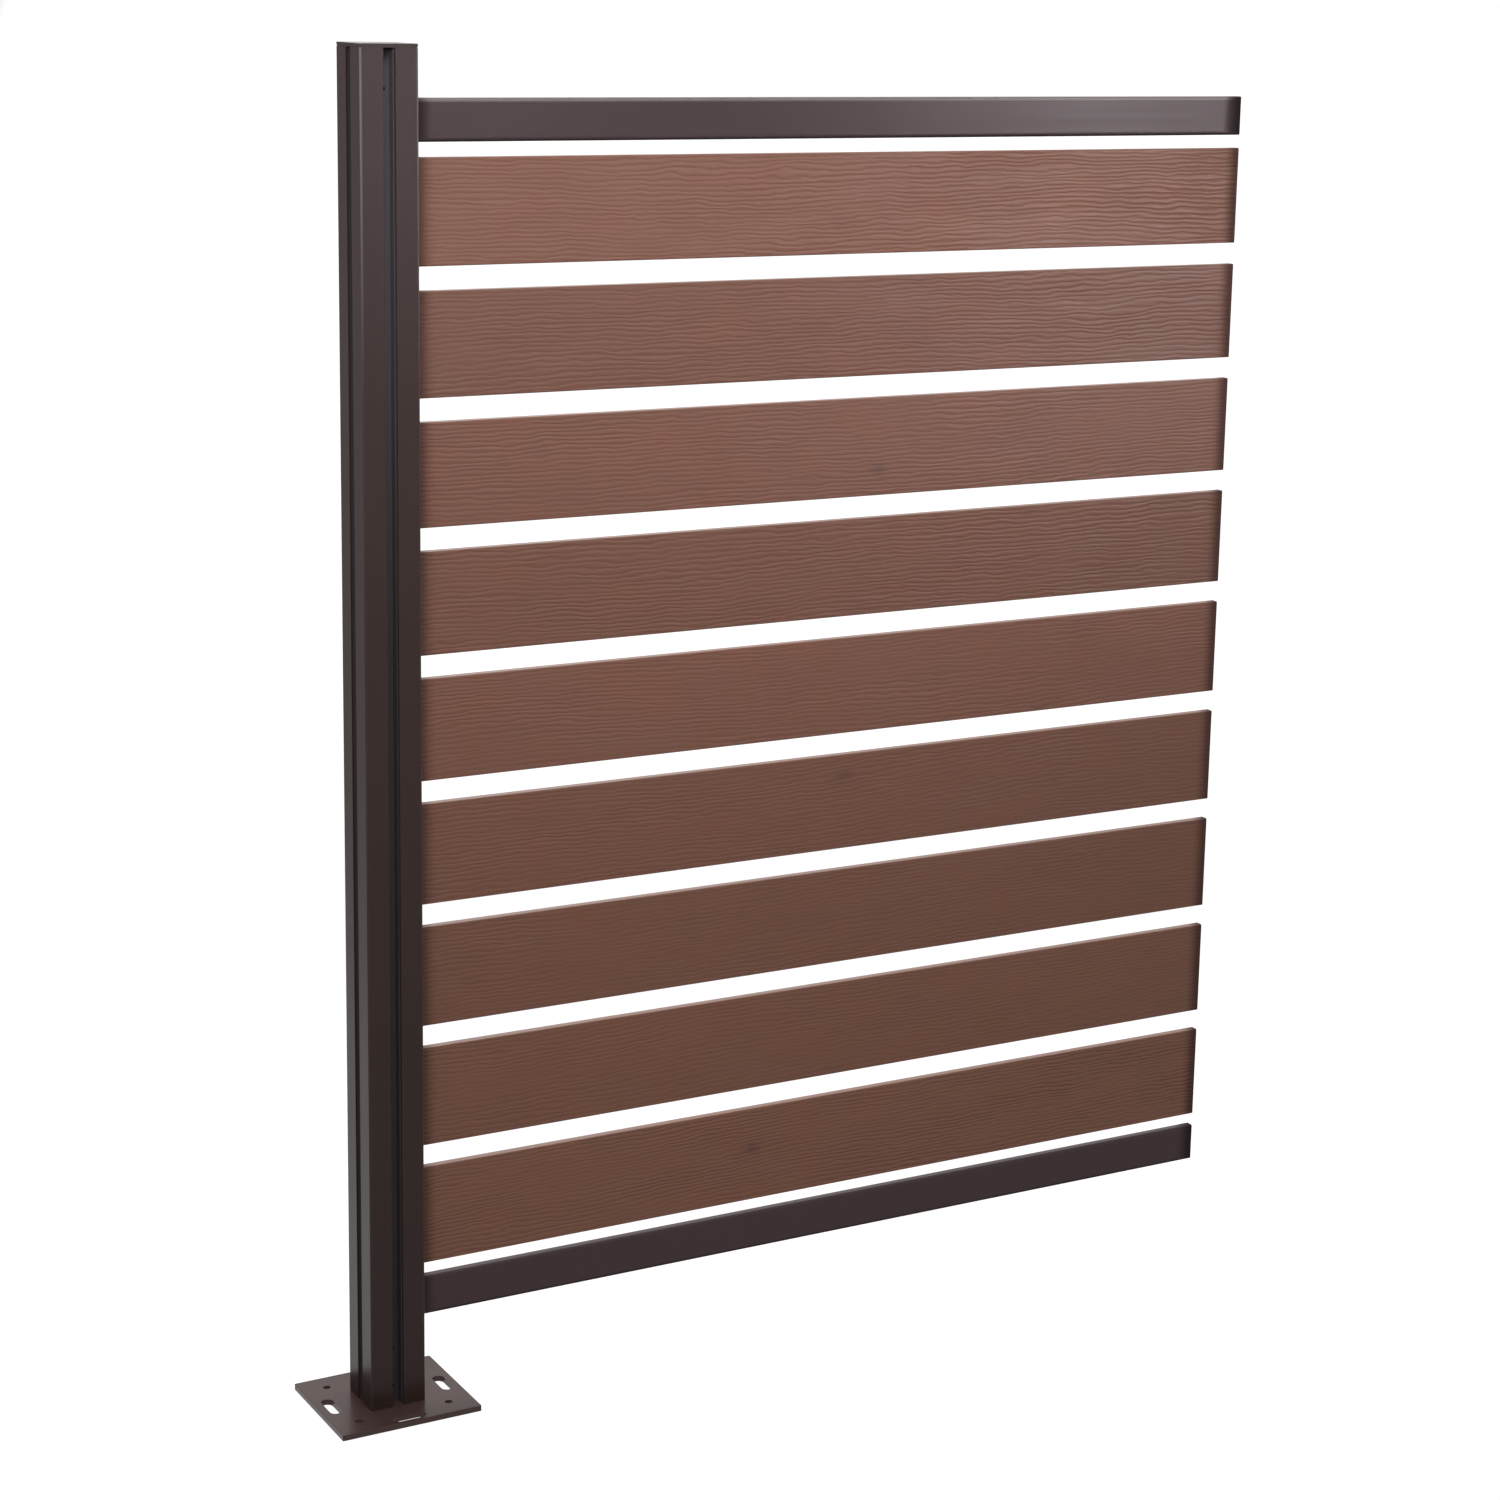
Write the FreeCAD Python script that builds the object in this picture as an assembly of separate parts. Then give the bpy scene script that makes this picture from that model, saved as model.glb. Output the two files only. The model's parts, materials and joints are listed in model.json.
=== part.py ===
import FreeCAD, Part
import math
import os

# Slatted bin screen section: a grooved post on a base plate carries a panel of slats between two rails.
# Millimetres. The origin is the middle of the base plate's underside, +Z is up, the panel runs along +X
# and its front faces -Y.

# Driving dimensions

# Post, a square hollow extrusion with one groove down the middle of each face
POST_SIDE = 60.0
POST_WALL = 2.0
POST_CORNER_RADIUS = 1.2
POST_ABOVE_PANEL = 48.0

# Grooves, and the guide bead along each groove wall
GROOVE_DEPTH = 15.5
GROOVE_MOUTH_RADIUS = 0.5
BEAD_RADIUS = 1.0
BEAD_HEIGHT = 0.6
BEAD_INSET = 5.0

# Screw ports, the round bosses inside the post's corners
PORT_WALL = 2.4
PORT_MERGE = 0.8

# Panel of slats between two hollow rails
SLAT_COUNT = 9
SLAT_HEIGHT = 106.0
SLAT_GAP = 23.75
SLAT_EDGE_RADIUS = 1.5
RAIL_HEIGHT = 42.5
RAIL_GAP = 14.5
RAIL_WALL = 1.6
RAIL_EDGE_RADIUS = 1.8
PANEL_THICKNESS = 10.0
PANEL_REACH = 1003.0
PANEL_CLEARANCE = 0.4
PANEL_END_CLEARANCE = 1.5

# Spacers and stops that hold the panel's pieces in the groove
SPACER_WALL = 2.0
FILLER_SETBACK = 1.5
BOTTOM_STOP_HEIGHT = 84.0
LOWER_SCREW_UP = 16.0
UPPER_SCREW_DOWN = 26.0
TOP_STOP_HEIGHT = 18.0

# Stop screws, pan heads in counterbores
STOP_SCREW_DIAMETER = 3.5
STOP_SCREW_REACH = 4.0
STOP_HEAD_DIAMETER = 7.0
STOP_HEAD_HEIGHT = 2.6
STOP_HEAD_EDGE_RADIUS = 1.0
STOP_SOCKET_WIDTH = 2.0
STOP_SOCKET_DEPTH = 1.4
COUNTERBORE_DEPTH = 4.5

# Base plate with four round holes and four slots
PLATE_THICKNESS = 6.0
PLATE_CORNER_RADIUS = 1.5
PLATE_EDGE_RADIUS = 0.5
HOLE_DIAMETER = 8.0
HOLE_INSET_X = 27.0
HOLE_INSET_Y = 24.0
SLOT_LENGTH = 36.0
SLOT_WIDTH = 12.5
SIDE_SLOT_REACH = 32.5
SIDE_SLOT_EDGE = 14.5
FRONT_SLOT_REACH = 29.0
FRONT_SLOT_EDGE = 10.0

# Base screws, countersunk from below into the screw ports
BASE_SCREW_DIAMETER = 6.0
BASE_SCREW_LENGTH = 30.0
BASE_HEAD_DIAMETER = 12.0
BASE_HEAD_RECESS = 0.3
BASE_SOCKET_WIDTH = 4.0
BASE_SOCKET_DEPTH = 2.2

# Cap, a thin plate on a set-back neck with four pegs
CAP_THICKNESS = 3.2
CAP_EDGE_RADIUS = 0.5
CAP_NECK_HEIGHT = 0.8
CAP_NECK_SETBACK = 0.8
CAP_PEG_LENGTH = 14.0

# Fits
THREAD_CLEARANCE = 0.1
SHANK_CLEARANCE = 0.3
HEAD_CLEARANCE = 0.5
COUNTERSINK_CLEARANCE = 0.2
PEG_CLEARANCE = 0.1

# How far cutters run past a face, and how close two positions are to count as the same
CUT_MARGIN = 1.0
SAME_PLACE = 1e-6

# Sizes that follow from the driving dimensions
post_half = POST_SIDE / 2
groove_width = PANEL_THICKNESS + 2 * (PANEL_CLEARANCE + BEAD_HEIGHT)
groove_floor = post_half - GROOVE_DEPTH
chamber_half = groove_floor - POST_WALL
port_bore_radius = BASE_SCREW_DIAMETER / 2 + THREAD_CLEARANCE
port_radius = port_bore_radius + PORT_WALL
port_offset = post_half - POST_WALL - port_radius + PORT_MERGE
pilot_radius = STOP_SCREW_DIAMETER / 2 + THREAD_CLEARANCE

panel_bottom = PLATE_THICKNESS + BOTTOM_STOP_HEIGHT
slat_pitch = SLAT_HEIGHT + SLAT_GAP
slats_bottom = panel_bottom + RAIL_HEIGHT + RAIL_GAP
slats_top = slats_bottom + SLAT_COUNT * slat_pitch - SLAT_GAP
top_rail_bottom = slats_top + RAIL_GAP
panel_top = top_rail_bottom + RAIL_HEIGHT
post_top = panel_top + POST_ABOVE_PANEL
panel_start = groove_floor + PANEL_END_CLEARANCE
panel_end = post_half + PANEL_REACH
filler_front = post_half - FILLER_SETBACK

bottom_screw_heights = [PLATE_THICKNESS + LOWER_SCREW_UP, panel_bottom - UPPER_SCREW_DOWN]
top_screw_height = panel_top + TOP_STOP_HEIGHT / 2
screw_seat = filler_front - COUNTERBORE_DEPTH
screw_tip = chamber_half - STOP_SCREW_REACH

side_slot_x = post_half + SIDE_SLOT_REACH
front_slot_y = post_half + FRONT_SLOT_REACH
plate_half_x = side_slot_x + SIDE_SLOT_EDGE
plate_half_y = front_slot_y + FRONT_SLOT_EDGE
hole_x = plate_half_x - HOLE_INSET_X
hole_y = plate_half_y - HOLE_INSET_Y

ORIGIN = FreeCAD.Vector(0, 0, 0)
AXIS_X = FreeCAD.Vector(1, 0, 0)
AXIS_Y = FreeCAD.Vector(0, 1, 0)
AXIS_Z = FreeCAD.Vector(0, 0, 1)
CORNERS = [(1, 1), (-1, 1), (-1, -1), (1, -1)]
QUARTER_TURNS = [0, 90, 180, 270]
HEXAGON_TURNS = [0, 60, 120, 180, 240, 300]


def block(x_span, y_span, z_span):
    """A box between two values on each axis."""
    corner = FreeCAD.Vector(x_span[0], y_span[0], z_span[0])
    size = (x_span[1] - x_span[0], y_span[1] - y_span[0], z_span[1] - z_span[0])
    return Part.makeBox(*size, corner)


def post_block(half, z_span):
    """A square box about the post's axis."""
    return block((-half, half), (-half, half), z_span)


def rod_z(radius, x, y, z_span):
    """A round bar along Z."""
    return Part.makeCylinder(radius, z_span[1] - z_span[0], FreeCAD.Vector(x, y, z_span[0]), AXIS_Z)


def rod_x(radius, z, x_span):
    """A round bar along X, on the panel's middle plane."""
    return Part.makeCylinder(radius, x_span[1] - x_span[0], FreeCAD.Vector(x_span[0], 0, z), AXIS_X)


def hexagon_bar(width, base, axis, length):
    """A six-sided bar, width across its flats, from base along axis."""
    corner_arm = width / math.sqrt(3)
    points = []
    for angle in HEXAGON_TURNS:
        spin = FreeCAD.Rotation(axis, angle)
        points.append(base + spin.multVec(AXIS_Y) * corner_arm)
    outline = Part.makePolygon(points + points[:1])
    return Part.Face(outline).extrude(axis * length)


def all_faces(shape):
    """Copies of a shape turned to each of the post's four faces."""
    copies = []
    for angle in QUARTER_TURNS:
        copy = shape.copy()
        copy.rotate(ORIGIN, AXIS_Z, angle)
        copies.append(copy)
    return copies


def upright_edges(shape, wanted):
    """The shape's vertical edges for which wanted(x, y) holds."""
    chosen = []
    for edge in shape.Edges:
        box = edge.BoundBox
        if box.ZLength > box.XLength + box.YLength and wanted(box.Center.x, box.Center.y):
            chosen.append(edge)
    return chosen


def long_edges(shape):
    """The shape's edges that run along X."""
    chosen = []
    for edge in shape.Edges:
        box = edge.BoundBox
        if box.XLength > box.YLength + box.ZLength:
            chosen.append(edge)
    return chosen


def edges_at_height(shape, height):
    """The shape's level edges at one height."""
    chosen = []
    for edge in shape.Edges:
        box = edge.BoundBox
        if max(abs(box.ZMin - height), abs(box.ZMax - height)) < SAME_PLACE:
            chosen.append(edge)
    return chosen


def make_post():
    """The grooved hollow extrusion, with pilot holes in every groove floor."""
    span = (PLATE_THICKNESS, post_top)
    through = (PLATE_THICKNESS - CUT_MARGIN, post_top + CUT_MARGIN)
    groove = block((groove_floor, post_half + CUT_MARGIN), (-groove_width / 2, groove_width / 2), through)
    body = post_block(post_half, span).cut(all_faces(groove))

    def at_corner(x, y):
        return abs(x) + abs(y) > POST_SIDE - SAME_PLACE

    def at_mouth(x, y):
        return max(abs(x), abs(y)) > post_half - SAME_PLACE and not at_corner(x, y)

    body = body.makeFillet(POST_CORNER_RADIUS, upright_edges(body, at_corner))
    body = body.makeFillet(GROOVE_MOUTH_RADIUS, upright_edges(body, at_mouth))

    channel_half = groove_width / 2 + POST_WALL
    channel = block((chamber_half, post_half), (-channel_half, channel_half), through)
    ports = [rod_z(port_radius, port_offset * sx, port_offset * sy, through) for sx, sy in CORNERS]
    hollow = post_block(post_half - POST_WALL, through).cut(all_faces(channel) + ports)
    bores = [rod_z(port_bore_radius, port_offset * sx, port_offset * sy, through) for sx, sy in CORNERS]
    body = body.cut([hollow] + bores)

    bead_offset = groove_width / 2 + BEAD_RADIUS - BEAD_HEIGHT
    beads = []
    for side in (-1, 1):
        beads += all_faces(rod_z(BEAD_RADIUS, post_half - BEAD_INSET, bead_offset * side, span))
    body = body.fuse(beads)

    pilot_span = (chamber_half - CUT_MARGIN, groove_floor + CUT_MARGIN)
    pilots = []
    for height in bottom_screw_heights + [top_screw_height]:
        pilots += all_faces(rod_x(pilot_radius, height, pilot_span))
    return body.cut(pilots).removeSplitter()


def make_post_cap():
    """The cap plate on its neck, with a peg for each screw port."""
    neck_top = post_top + CAP_NECK_HEIGHT
    cap_top = neck_top + CAP_THICKNESS
    plate = post_block(post_half, (neck_top, cap_top))
    plate = plate.makeFillet(POST_CORNER_RADIUS, upright_edges(plate, lambda x, y: True))
    plate = plate.makeFillet(CAP_EDGE_RADIUS, edges_at_height(plate, cap_top))
    neck = post_block(post_half - CAP_NECK_SETBACK, (post_top, neck_top))
    peg_span = (post_top - CAP_PEG_LENGTH, neck_top)
    peg_radius = port_bore_radius - PEG_CLEARANCE
    pegs = [rod_z(peg_radius, port_offset * sx, port_offset * sy, peg_span) for sx, sy in CORNERS]
    return plate.fuse([neck] + pegs).removeSplitter()


def slot_cut(x, y, along_x):
    """The cutter of one round-ended slot through the base plate."""
    span = (-CUT_MARGIN, PLATE_THICKNESS + CUT_MARGIN)
    end_radius = SLOT_WIDTH / 2
    reach = SLOT_LENGTH / 2 - end_radius
    step_x = reach if along_x else 0.0
    step_y = 0.0 if along_x else reach
    half_x = step_x if along_x else end_radius
    half_y = end_radius if along_x else step_y
    middle = block((x - half_x, x + half_x), (y - half_y, y + half_y), span)
    ends = [rod_z(end_radius, x + step_x * side, y + step_y * side, span) for side in (-1, 1)]
    return middle.fuse(ends)


def make_base_plate():
    """The base plate with its bolt holes, slots and countersunk screw holes."""
    top = PLATE_THICKNESS
    span = (-CUT_MARGIN, top + CUT_MARGIN)
    plate = block((-plate_half_x, plate_half_x), (-plate_half_y, plate_half_y), (0, top))
    plate = plate.makeFillet(PLATE_CORNER_RADIUS, upright_edges(plate, lambda x, y: True))
    plate = plate.makeFillet(PLATE_EDGE_RADIUS, edges_at_height(plate, top))
    sink_radius = BASE_HEAD_DIAMETER / 2 + BASE_HEAD_RECESS + COUNTERSINK_CLEARANCE
    cuts = []
    for sx, sy in CORNERS:
        x, y = port_offset * sx, port_offset * sy
        cuts.append(rod_z(HOLE_DIAMETER / 2, hole_x * sx, hole_y * sy, span))
        cuts.append(rod_z(BASE_SCREW_DIAMETER / 2 + SHANK_CLEARANCE, x, y, span))
        cuts.append(Part.makeCone(sink_radius, 0, sink_radius, FreeCAD.Vector(x, y, 0), AXIS_Z))
    for side in (-1, 1):
        cuts.append(slot_cut(side_slot_x * side, 0, False))
        cuts.append(slot_cut(0, front_slot_y * side, True))
    return plate.cut(cuts)


def make_base_screw(x, y):
    """One countersunk screw, head down in the base plate's underside."""
    base = FreeCAD.Vector(x, y, BASE_HEAD_RECESS)
    head_radius = BASE_HEAD_DIAMETER / 2
    shank_radius = BASE_SCREW_DIAMETER / 2
    head = Part.makeCone(head_radius, shank_radius, head_radius - shank_radius, base, AXIS_Z)
    shank = rod_z(shank_radius, x, y, (BASE_HEAD_RECESS, BASE_HEAD_RECESS + BASE_SCREW_LENGTH))
    socket = hexagon_bar(BASE_SOCKET_WIDTH, base, AXIS_Z, BASE_SOCKET_DEPTH)
    return head.fuse(shank).cut(socket).removeSplitter()


def make_base_screws():
    """The four base screws, one under each screw port."""
    return Part.makeCompound([make_base_screw(port_offset * sx, port_offset * sy) for sx, sy in CORNERS])


def make_board(bottom, height, edge_radius):
    """A panel board with rounded long edges, from inside the groove to the free end."""
    half = PANEL_THICKNESS / 2
    board = block((panel_start, panel_end), (-half, half), (bottom, bottom + height))
    return board.makeFillet(edge_radius, long_edges(board))


def make_rail(bottom):
    """A hollow rail, open at both ends."""
    rail = make_board(bottom, RAIL_HEIGHT, RAIL_EDGE_RADIUS)
    inner_half = PANEL_THICKNESS / 2 - RAIL_WALL
    inner_span = (bottom + RAIL_WALL, bottom + RAIL_HEIGHT - RAIL_WALL)
    bore = block((panel_start - CUT_MARGIN, panel_end + CUT_MARGIN), (-inner_half, inner_half), inner_span)
    return rail.cut(bore)


def slat_bottom(number):
    """Height of a slat's underside, counted from the top."""
    return slats_bottom + (SLAT_COUNT - number) * slat_pitch


def make_slat(number):
    """One solid slat, counted from the top."""
    return make_board(slat_bottom(number), SLAT_HEIGHT, SLAT_EDGE_RADIUS)


def make_spacer(bottom, height):
    """A short square tube in the groove that keeps two boards apart."""
    half = PANEL_THICKNESS / 2
    inner = half - SPACER_WALL
    outside = block((groove_floor, filler_front), (-half, half), (bottom, bottom + height))
    inner_x = (groove_floor + SPACER_WALL, filler_front - SPACER_WALL)
    bore = block(inner_x, (-inner, inner), (bottom - CUT_MARGIN, bottom + height + CUT_MARGIN))
    return outside.cut(bore)


def make_stop(bottom, height, screw_heights):
    """A bar in the groove with a counterbored hole for each of its screws."""
    half = PANEL_THICKNESS / 2
    bar = block((groove_floor, filler_front), (-half, half), (bottom, bottom + height))
    hole_radius = STOP_SCREW_DIAMETER / 2 + SHANK_CLEARANCE
    sink_radius = (STOP_HEAD_DIAMETER + HEAD_CLEARANCE) / 2
    cuts = []
    for z in screw_heights:
        cuts.append(rod_x(hole_radius, z, (groove_floor - CUT_MARGIN, filler_front)))
        cuts.append(rod_x(sink_radius, z, (screw_seat, filler_front + CUT_MARGIN)))
    return bar.cut(cuts)


def make_stop_screw(z):
    """One pan-head screw through a stop into the groove floor."""
    head_end = screw_seat + STOP_HEAD_HEIGHT
    head = rod_x(STOP_HEAD_DIAMETER / 2, z, (screw_seat, head_end))
    rim = [edge for edge in head.Edges if abs(edge.BoundBox.XMin - head_end) < SAME_PLACE]
    head = head.makeFillet(STOP_HEAD_EDGE_RADIUS, rim)
    shank = rod_x(STOP_SCREW_DIAMETER / 2, z, (screw_tip, screw_seat))
    socket_base = FreeCAD.Vector(head_end - STOP_SOCKET_DEPTH, 0, z)
    socket = hexagon_bar(STOP_SOCKET_WIDTH, socket_base, AXIS_X, STOP_SOCKET_DEPTH)
    return head.fuse(shank).cut(socket).removeSplitter()


def make_pieces():
    """Every piece by its node name."""
    pieces = {
        "post": make_post(),
        "post_cap": make_post_cap(),
        "base_plate": make_base_plate(),
        "base_screws": make_base_screws(),
        "top_rail": make_rail(top_rail_bottom),
        "bottom_rail": make_rail(panel_bottom),
        "rail_spacer_top": make_spacer(slats_top, RAIL_GAP),
        "rail_spacer_bottom": make_spacer(slats_bottom - RAIL_GAP, RAIL_GAP),
        "bottom_stop": make_stop(PLATE_THICKNESS, BOTTOM_STOP_HEIGHT, bottom_screw_heights),
        "bottom_stop_screws": Part.makeCompound([make_stop_screw(z) for z in bottom_screw_heights]),
        "top_stop": make_stop(panel_top, TOP_STOP_HEIGHT, [top_screw_height]),
        "top_stop_screw": make_stop_screw(top_screw_height),
    }
    for number in range(1, SLAT_COUNT + 1):
        pieces[f"slat_{number}"] = make_slat(number)
    for number in range(1, SLAT_COUNT):
        pieces[f"groove_spacer_{number}"] = make_spacer(slat_bottom(number) - SLAT_GAP, SLAT_GAP)
    return pieces


os.makedirs("parts", exist_ok=True)
for node, shape in make_pieces().items():
    shape.exportStep(f"parts/{node}.step")
    print(node, len(shape.Solids), "solid(s)", shape.isValid(), round(shape.Volume, 1), "mm3")
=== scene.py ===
"""Dresses one section of a slatted screen: a grooved post on its foot, nine grained boards, two rails."""

import json
import logging
import math
from dataclasses import dataclass, replace
from enum import Enum
from typing import Any, Mapping, Sequence

import bpy
from mathutils import Matrix, Vector

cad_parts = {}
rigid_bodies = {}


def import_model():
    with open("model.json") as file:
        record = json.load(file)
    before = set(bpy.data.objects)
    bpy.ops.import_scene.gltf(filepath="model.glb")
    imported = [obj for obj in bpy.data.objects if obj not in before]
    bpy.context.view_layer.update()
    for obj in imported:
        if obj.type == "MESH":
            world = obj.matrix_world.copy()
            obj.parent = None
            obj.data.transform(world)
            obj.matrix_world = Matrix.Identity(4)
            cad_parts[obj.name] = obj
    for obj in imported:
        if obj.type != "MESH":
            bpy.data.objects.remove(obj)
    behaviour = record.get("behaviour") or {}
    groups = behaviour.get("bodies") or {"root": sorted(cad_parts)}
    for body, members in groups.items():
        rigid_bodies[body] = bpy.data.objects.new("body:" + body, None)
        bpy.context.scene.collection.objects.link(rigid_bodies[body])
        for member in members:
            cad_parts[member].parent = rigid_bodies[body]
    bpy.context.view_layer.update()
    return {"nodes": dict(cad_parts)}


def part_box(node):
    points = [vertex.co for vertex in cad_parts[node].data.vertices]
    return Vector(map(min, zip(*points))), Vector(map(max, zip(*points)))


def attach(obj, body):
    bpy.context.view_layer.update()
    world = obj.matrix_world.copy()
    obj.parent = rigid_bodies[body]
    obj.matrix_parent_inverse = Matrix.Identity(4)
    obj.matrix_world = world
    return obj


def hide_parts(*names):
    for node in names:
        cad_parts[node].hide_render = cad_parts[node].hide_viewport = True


LOG = logging.getLogger("screen_panel")
MM = 0.001
BODY = "root"
BAKE_MAP = "OFBake"
FULL_TURN = 2.0 * math.pi

Colour = tuple[float, float, float]
Point = tuple[float, float, float]
Span = tuple[float, float]
WHITE: Colour = (1.0, 1.0, 1.0)


class Axis(Enum):
    """The way a length was drawn through its die."""

    X = 0
    Y = 1
    Z = 2

    def stretched(self, across: float, along: float) -> Point:
        """Give the scales that draw a pattern out along this axis.

        Args:
            across: Scale on the two other axes.
            along: Scale on this axis.

        Returns:
            One scale for each of X, Y and Z.
        """
        scales = [across, across, across]
        scales[self.value] = along
        return tuple(scales)


class Wire:
    """A node socket that can stand in a Python expression."""

    def __init__(self, graph: "Graph", socket: bpy.types.NodeSocket) -> None:
        """Keep the socket with the graph that it belongs to."""
        self.graph = graph
        self.socket = socket

    def math(self, operation: str, *others: Any) -> "Wire":
        """Add a Math node whose first value is this wire."""
        return self.graph.math(operation, self, *others)

    def __add__(self, other: Any) -> "Wire":
        """Give self + other."""
        return self.graph.math("ADD", self, other)

    def __radd__(self, other: Any) -> "Wire":
        """Give other + self."""
        return self.graph.math("ADD", other, self)

    def __sub__(self, other: Any) -> "Wire":
        """Give self - other."""
        return self.graph.math("SUBTRACT", self, other)

    def __rsub__(self, other: Any) -> "Wire":
        """Give other - self."""
        return self.graph.math("SUBTRACT", other, self)

    def __mul__(self, other: Any) -> "Wire":
        """Give self * other."""
        return self.graph.math("MULTIPLY", self, other)

    def __rmul__(self, other: Any) -> "Wire":
        """Give other * self."""
        return self.graph.math("MULTIPLY", other, self)

    def __truediv__(self, other: Any) -> "Wire":
        """Give self / other."""
        return self.graph.math("DIVIDE", self, other)

    def __rtruediv__(self, other: Any) -> "Wire":
        """Give other / self."""
        return self.graph.math("DIVIDE", other, self)

    def __pow__(self, other: Any) -> "Wire":
        """Give self to the power of other."""
        return self.graph.math("POWER", self, other)

    def __neg__(self) -> "Wire":
        """Give minus self."""
        return self.graph.math("MULTIPLY", self, -1.0)

    def __abs__(self) -> "Wire":
        """Give the size of self without its sign."""
        return self.graph.math("ABSOLUTE", self)


class Graph:
    """A node tree, of a material, the world or a modifier, and the way to add to it."""

    NOISE_ROUGHNESS = 0.55
    MIX_INPUTS = (0, 6, 7)
    MIX_OUTPUT = 2

    def __init__(self, tree: bpy.types.NodeTree) -> None:
        """Start from an empty tree.

        Args:
            tree: The tree to fill; its own nodes are taken out.
        """
        self.tree = tree
        self.tree.nodes.clear()

    def node(
        self,
        kind: str,
        settings: Mapping[str, Any] | None = None,
        sockets: Mapping[Any, Any] | None = None,
        output: Any = 0,
    ) -> Wire | None:
        """Add a node, set it up and feed its sockets.

        Args:
            kind: The node's type.
            settings: Properties of the node, set first.
            sockets: Values or wires for its inputs, by name or by number.
            output: The output to hand back, by name or by number.

        Returns:
            The wire of that output, or None for a node that has no output.
        """
        made = self.tree.nodes.new(kind)
        for name, value in (settings or {}).items():
            setattr(made, name, value)
        for key, value in (sockets or {}).items():
            if isinstance(value, Wire):
                self.tree.links.new(value.socket, made.inputs[key])
            else:
                made.inputs[key].default_value = value
        return Wire(self, made.outputs[output]) if made.outputs else None

    def math(self, operation: str, *values: Any) -> Wire:
        """Add a Math node of that operation on these values."""
        return self.node("ShaderNodeMath", {"operation": operation}, dict(enumerate(values)))

    def vector(self, x: Any = 0.0, y: Any = 0.0, z: Any = 0.0) -> Wire:
        """Join three values into one vector."""
        return self.node("ShaderNodeCombineXYZ", None, {"X": x, "Y": y, "Z": z})

    def split(self, vector: Wire) -> tuple[Wire, Wire, Wire]:
        """Take a vector apart.

        Args:
            vector: The wire to take apart.

        Returns:
            Its X, Y and Z.
        """
        first = self.node("ShaderNodeSeparateXYZ", None, {0: vector})
        outputs = first.socket.node.outputs
        return tuple(Wire(self, outputs[name]) for name in ("X", "Y", "Z"))

    def scaled(self, vector: Wire, scales: Point) -> Wire:
        """Multiply a vector by one scale for each axis."""
        return self.node("ShaderNodeVectorMath", {"operation": "MULTIPLY"}, {0: vector, 1: scales})

    def noise(self, vector: Wire, scale: float, detail: float = 2.0, seed: Any = 0.0) -> Wire:
        """Add a noise texture.

        Args:
            vector: Where it is read.
            scale: Features per unit of that vector.
            detail: Finer layers on top of the first one.
            seed: Which of the patterns it is.

        Returns:
            Its value, from 0 to 1 with 0.5 in the middle.
        """
        sockets = {"Vector": vector, "W": seed, "Scale": scale, "Detail": detail}
        sockets["Roughness"] = self.NOISE_ROUGHNESS
        return self.node("ShaderNodeTexNoise", {"noise_dimensions": "4D"}, sockets)

    def fade(self, value: Wire, start: float, end: float, low: float = 0.0, high: float = 1.0) -> Wire:
        """Ease a value from low to high.

        Args:
            value: The wire to read.
            start: Where low ends.
            end: Where high begins.
            low: Result before start.
            high: Result after end.

        Returns:
            The eased value, never outside low and high.
        """
        return self.node(
            "ShaderNodeMapRange",
            {"interpolation_type": "SMOOTHSTEP"},
            {"Value": value, "From Min": start, "From Max": end, "To Min": low, "To Max": high},
        )

    def mix(self, factor: Any, first: Any, second: Any, blend: str = "MIX") -> Wire:
        """Mix two colours.

        Args:
            factor: Share of the second colour.
            first: Colour or wire.
            second: Colour or wire.
            blend: How the second one is laid over the first.

        Returns:
            The mixed colour.
        """
        settings = {"data_type": "RGBA", "blend_type": blend, "clamp_factor": True}
        sockets = dict(zip(self.MIX_INPUTS, (factor, opaque(first), opaque(second))))
        return self.node("ShaderNodeMix", settings, sockets, output=self.MIX_OUTPUT)

    def groove(self, turns: Wire, sharpness: float) -> Wire:
        """Draw one groove for each turn.

        Args:
            turns: The wire that counts the grooves.
            sharpness: How narrow they are for their pitch.

        Returns:
            1 in the middle of a groove, 0 on the land between two.
        """
        wave = (turns * FULL_TURN).math("COSINE")
        return (wave * 0.5 + 0.5) ** sharpness

    def bump(self, height: Wire, depth: float, below: Wire | None = None) -> Wire:
        """Turn a height from 0 to 1 into a normal.

        Args:
            height: The wire to read.
            depth: Metres between a height of 0 and a height of 1.
            below: Normal of a coarser bump under this one.

        Returns:
            The bumped normal.
        """
        sockets = {"Height": height, "Distance": depth, "Strength": 1.0}
        if below is not None:
            sockets["Normal"] = below
        return self.node("ShaderNodeBump", None, sockets)


def opaque(colour: Any) -> Any:
    """Give a plain colour its alpha, and leave a wire as it is."""
    return colour if isinstance(colour, Wire) else (*colour, 1.0)


def toned(colour: Colour, share: float) -> Colour:
    """Make a colour lighter or darker by one factor."""
    return tuple(part * share for part in colour)


def clouded(graph: Graph, cloud: Wire, tint: Colour, tones: Span) -> Wire:
    """Mix a tint's first and second tone by a slow noise."""
    return graph.mix(cloud, toned(tint, tones[0]), toned(tint, tones[1]))


def varied(middle: float, *swings: tuple[float, Wire]) -> Wire:
    """Let a value swing about its middle with one noise or more.

    Args:
        middle: The value where every noise is at its own middle.
        swings: How far the value swings over each noise, and that noise.

    Returns:
        The swinging value.
    """
    value = middle
    for reach, noise in swings:
        value = value + reach * (noise - 0.5)
    return value


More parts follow.
